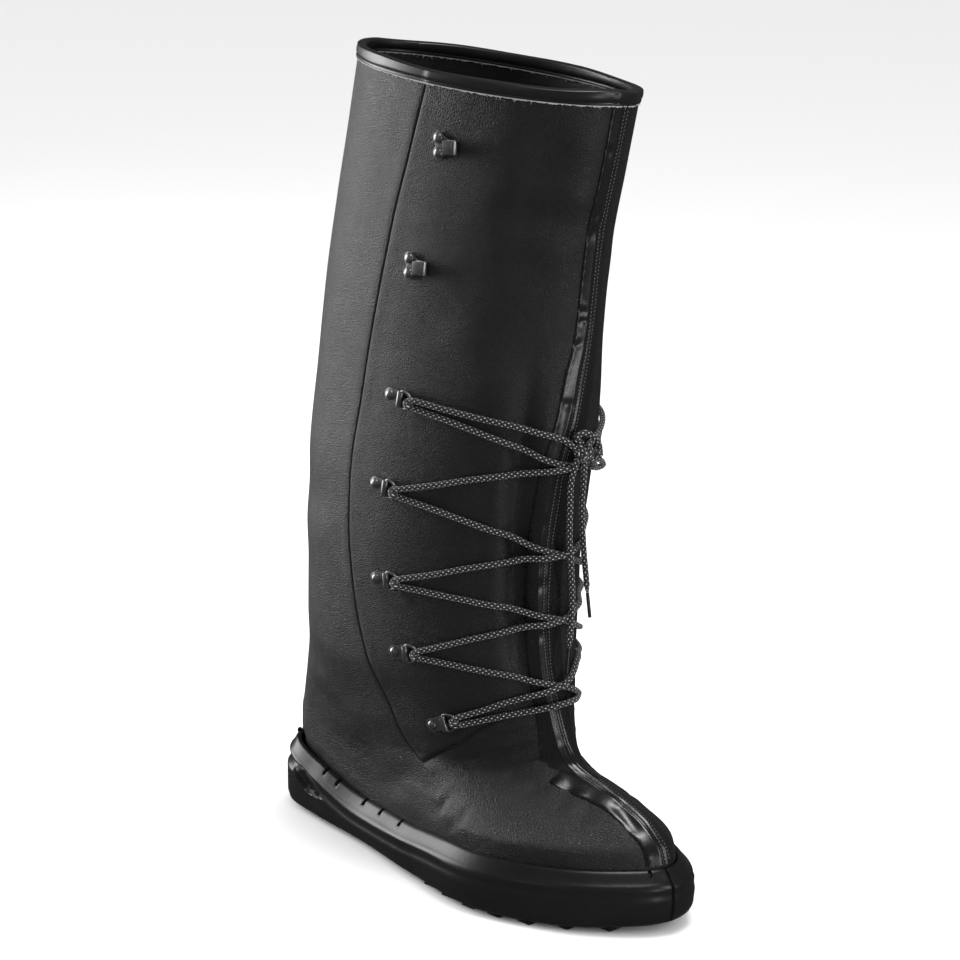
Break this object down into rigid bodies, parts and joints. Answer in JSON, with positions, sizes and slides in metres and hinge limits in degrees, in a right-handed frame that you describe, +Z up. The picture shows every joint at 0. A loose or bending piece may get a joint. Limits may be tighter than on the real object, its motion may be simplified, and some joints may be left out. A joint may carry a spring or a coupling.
{
  "type": "winter overshoe",
  "caption": "Knee-high soft leather overshoe on a lipped rubber sole, laced at the front through riveted rings, with open hooks above",
  "frame": {"origin": "on the floor, in the middle of the heel's resting face", "axes": "+X to the toe, +Y to the inner side, +Z up the shaft"},
  "size_m": [0.331, 0.1466, 0.4964],
  "materials": {
    "rubber": "semi-gloss",
    "leather": "grained, satin",
    "tape": "gloss",
    "felt": "matt felt",
    "metal": "dark nickel",
    "braid": "braided, light flecks"
  },
  "bodies": {
    "root": {"outsole": "rubber", "insole": "felt", "upper": "leather", "front_tape": "tape", "collar_binding": "tape", "ring_clip_outer_1": "metal", "ring_clip_outer_2": "metal", "ring_clip_outer_3": "metal", "ring_clip_outer_4": "metal", "ring_clip_outer_5": "metal", "ring_clip_inner_1": "metal", "ring_clip_inner_2": "metal", "ring_clip_inner_3": "metal", "ring_clip_inner_4": "metal", "ring_clip_inner_5": "metal", "lace_ring_outer_1": "metal", "lace_ring_outer_2": "metal", "lace_ring_outer_3": "metal", "lace_ring_outer_4": "metal", "lace_ring_outer_5": "metal", "lace_ring_inner_1": "metal", "lace_ring_inner_2": "metal", "lace_ring_inner_3": "metal", "lace_ring_inner_4": "metal", "lace_ring_inner_5": "metal", "speed_hook_outer_1": "metal", "speed_hook_outer_2": "metal", "speed_hook_inner_1": "metal", "speed_hook_inner_2": "metal", "lace_bar": "braid", "lace_crossing_1": "braid", "lace_crossing_2": "braid", "lace_crossing_3": "braid", "lace_crossing_4": "braid", "lace_top_outer": "braid", "lace_top_inner": "braid", "lace_knot": "braid", "lace_loop_upper": "braid", "lace_loop_inner": "braid", "lace_end_short": "braid", "lace_end_long": "braid", "lace_aglet_short": "braid", "lace_aglet_long": "braid"}
  },
  "joints": []
}
